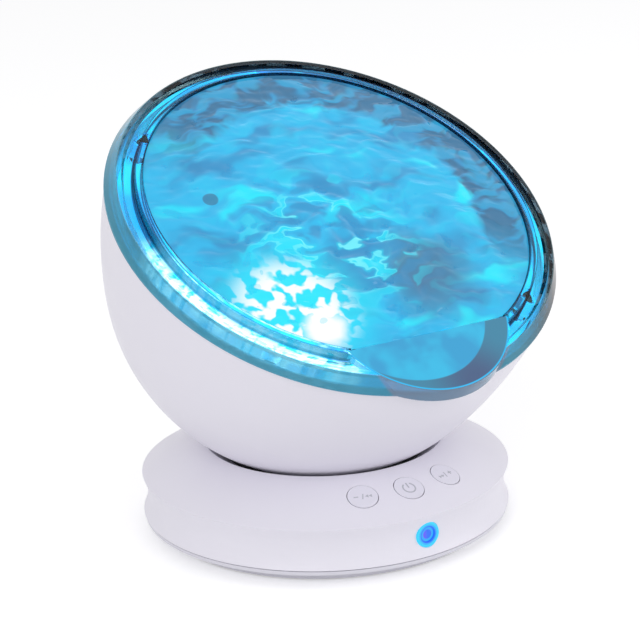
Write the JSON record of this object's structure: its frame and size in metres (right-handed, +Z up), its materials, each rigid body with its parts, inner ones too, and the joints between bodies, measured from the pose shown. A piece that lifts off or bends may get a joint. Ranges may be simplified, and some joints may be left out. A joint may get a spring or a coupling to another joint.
{
  "type": "star night light projector",
  "caption": "Bedside night light projector: round waisted base with keys and a tilting ball head under a clear rippled cover that throws moving light on the ceiling.",
  "frame": {"origin": "centre of the base in the plane its rubber feet stand on", "axes": "+Z up along the base's axis, -Y towards the front with the keys, +X to the right seen from the front"},
  "size_m": [0.128, 0.1279, 0.1274],
  "materials": {
    "shell": "satin",
    "underside": "matte",
    "feet": "matte",
    "clear_cover": "polished",
    "cup": "matte",
    "board": "satin",
    "lamp": "clear",
    "motor": "satin",
    "steel": "satin",
    "ripple_disc": "rippled",
    "saddle": "matte",
    "keys": "satin",
    "black_plastic": "matte",
    "window": "polished",
    "status_lamp": "clear",
    "socket_metal": "plated",
    "speaker_frame": "satin",
    "paper": "matte"
  },
  "bodies": {
    "base": {"base_shell": "shell", "floor_plate": "underside", "rubber_feet": "feet", "case_screws": "steel", "post_screw": "steel", "tilt_saddle": "saddle", "seat_ring": "feet", "key_board": "board", "key_switches": "black_plastic", "receiver_window": "window", "sensor_board": "board", "status_lamp": "status_lamp", "infrared_receiver": "black_plastic", "main_board": "board", "usb_socket": "socket_metal", "audio_jack": "black_plastic", "card_socket": "socket_metal", "speaker_frame": "speaker_frame", "speaker_magnet": "steel", "speaker_cone": "paper"},
    "head": {"bowl_shell": "shell", "lens_cover": "clear_cover", "light_cup": "cup", "lamp_board": "board", "lamps": "lamp", "gear_motor": "motor"},
    "disc": {"disc_shaft": "steel", "ripple_disc": "ripple_disc"},
    "down_key": {"down_key": "keys"},
    "power_key": {"power_key": "keys"},
    "up_key": {"up_key": "keys"}
  },
  "joints": [
    {"name": "head_tilt", "type": "hinge", "parent": "base", "child": "head", "pos_m": [0, 0, 0.0749], "axis": [1, 0, 0], "range_deg": [-33, 12]},
    {"name": "disc_spin", "type": "hinge", "parent": "head", "child": "disc", "pos_m": [0, 0, 0.0749], "axis": [0, -0.5446, 0.8387], "continuous": true},
    {"name": "down_key_press", "type": "slide", "parent": "base", "child": "down_key", "axis": [0.1228, 0.3736, -0.9194], "range_m": [0, 0.0007], "stiffness_N_per_m": 600},
    {"name": "power_key_press", "type": "slide", "parent": "base", "child": "power_key", "axis": [0, 0.3933, -0.9194], "range_m": [0, 0.0007], "stiffness_N_per_m": 600},
    {"name": "up_key_press", "type": "slide", "parent": "base", "child": "up_key", "axis": [-0.1228, 0.3736, -0.9194], "range_m": [0, 0.0007], "stiffness_N_per_m": 600}
  ]
}
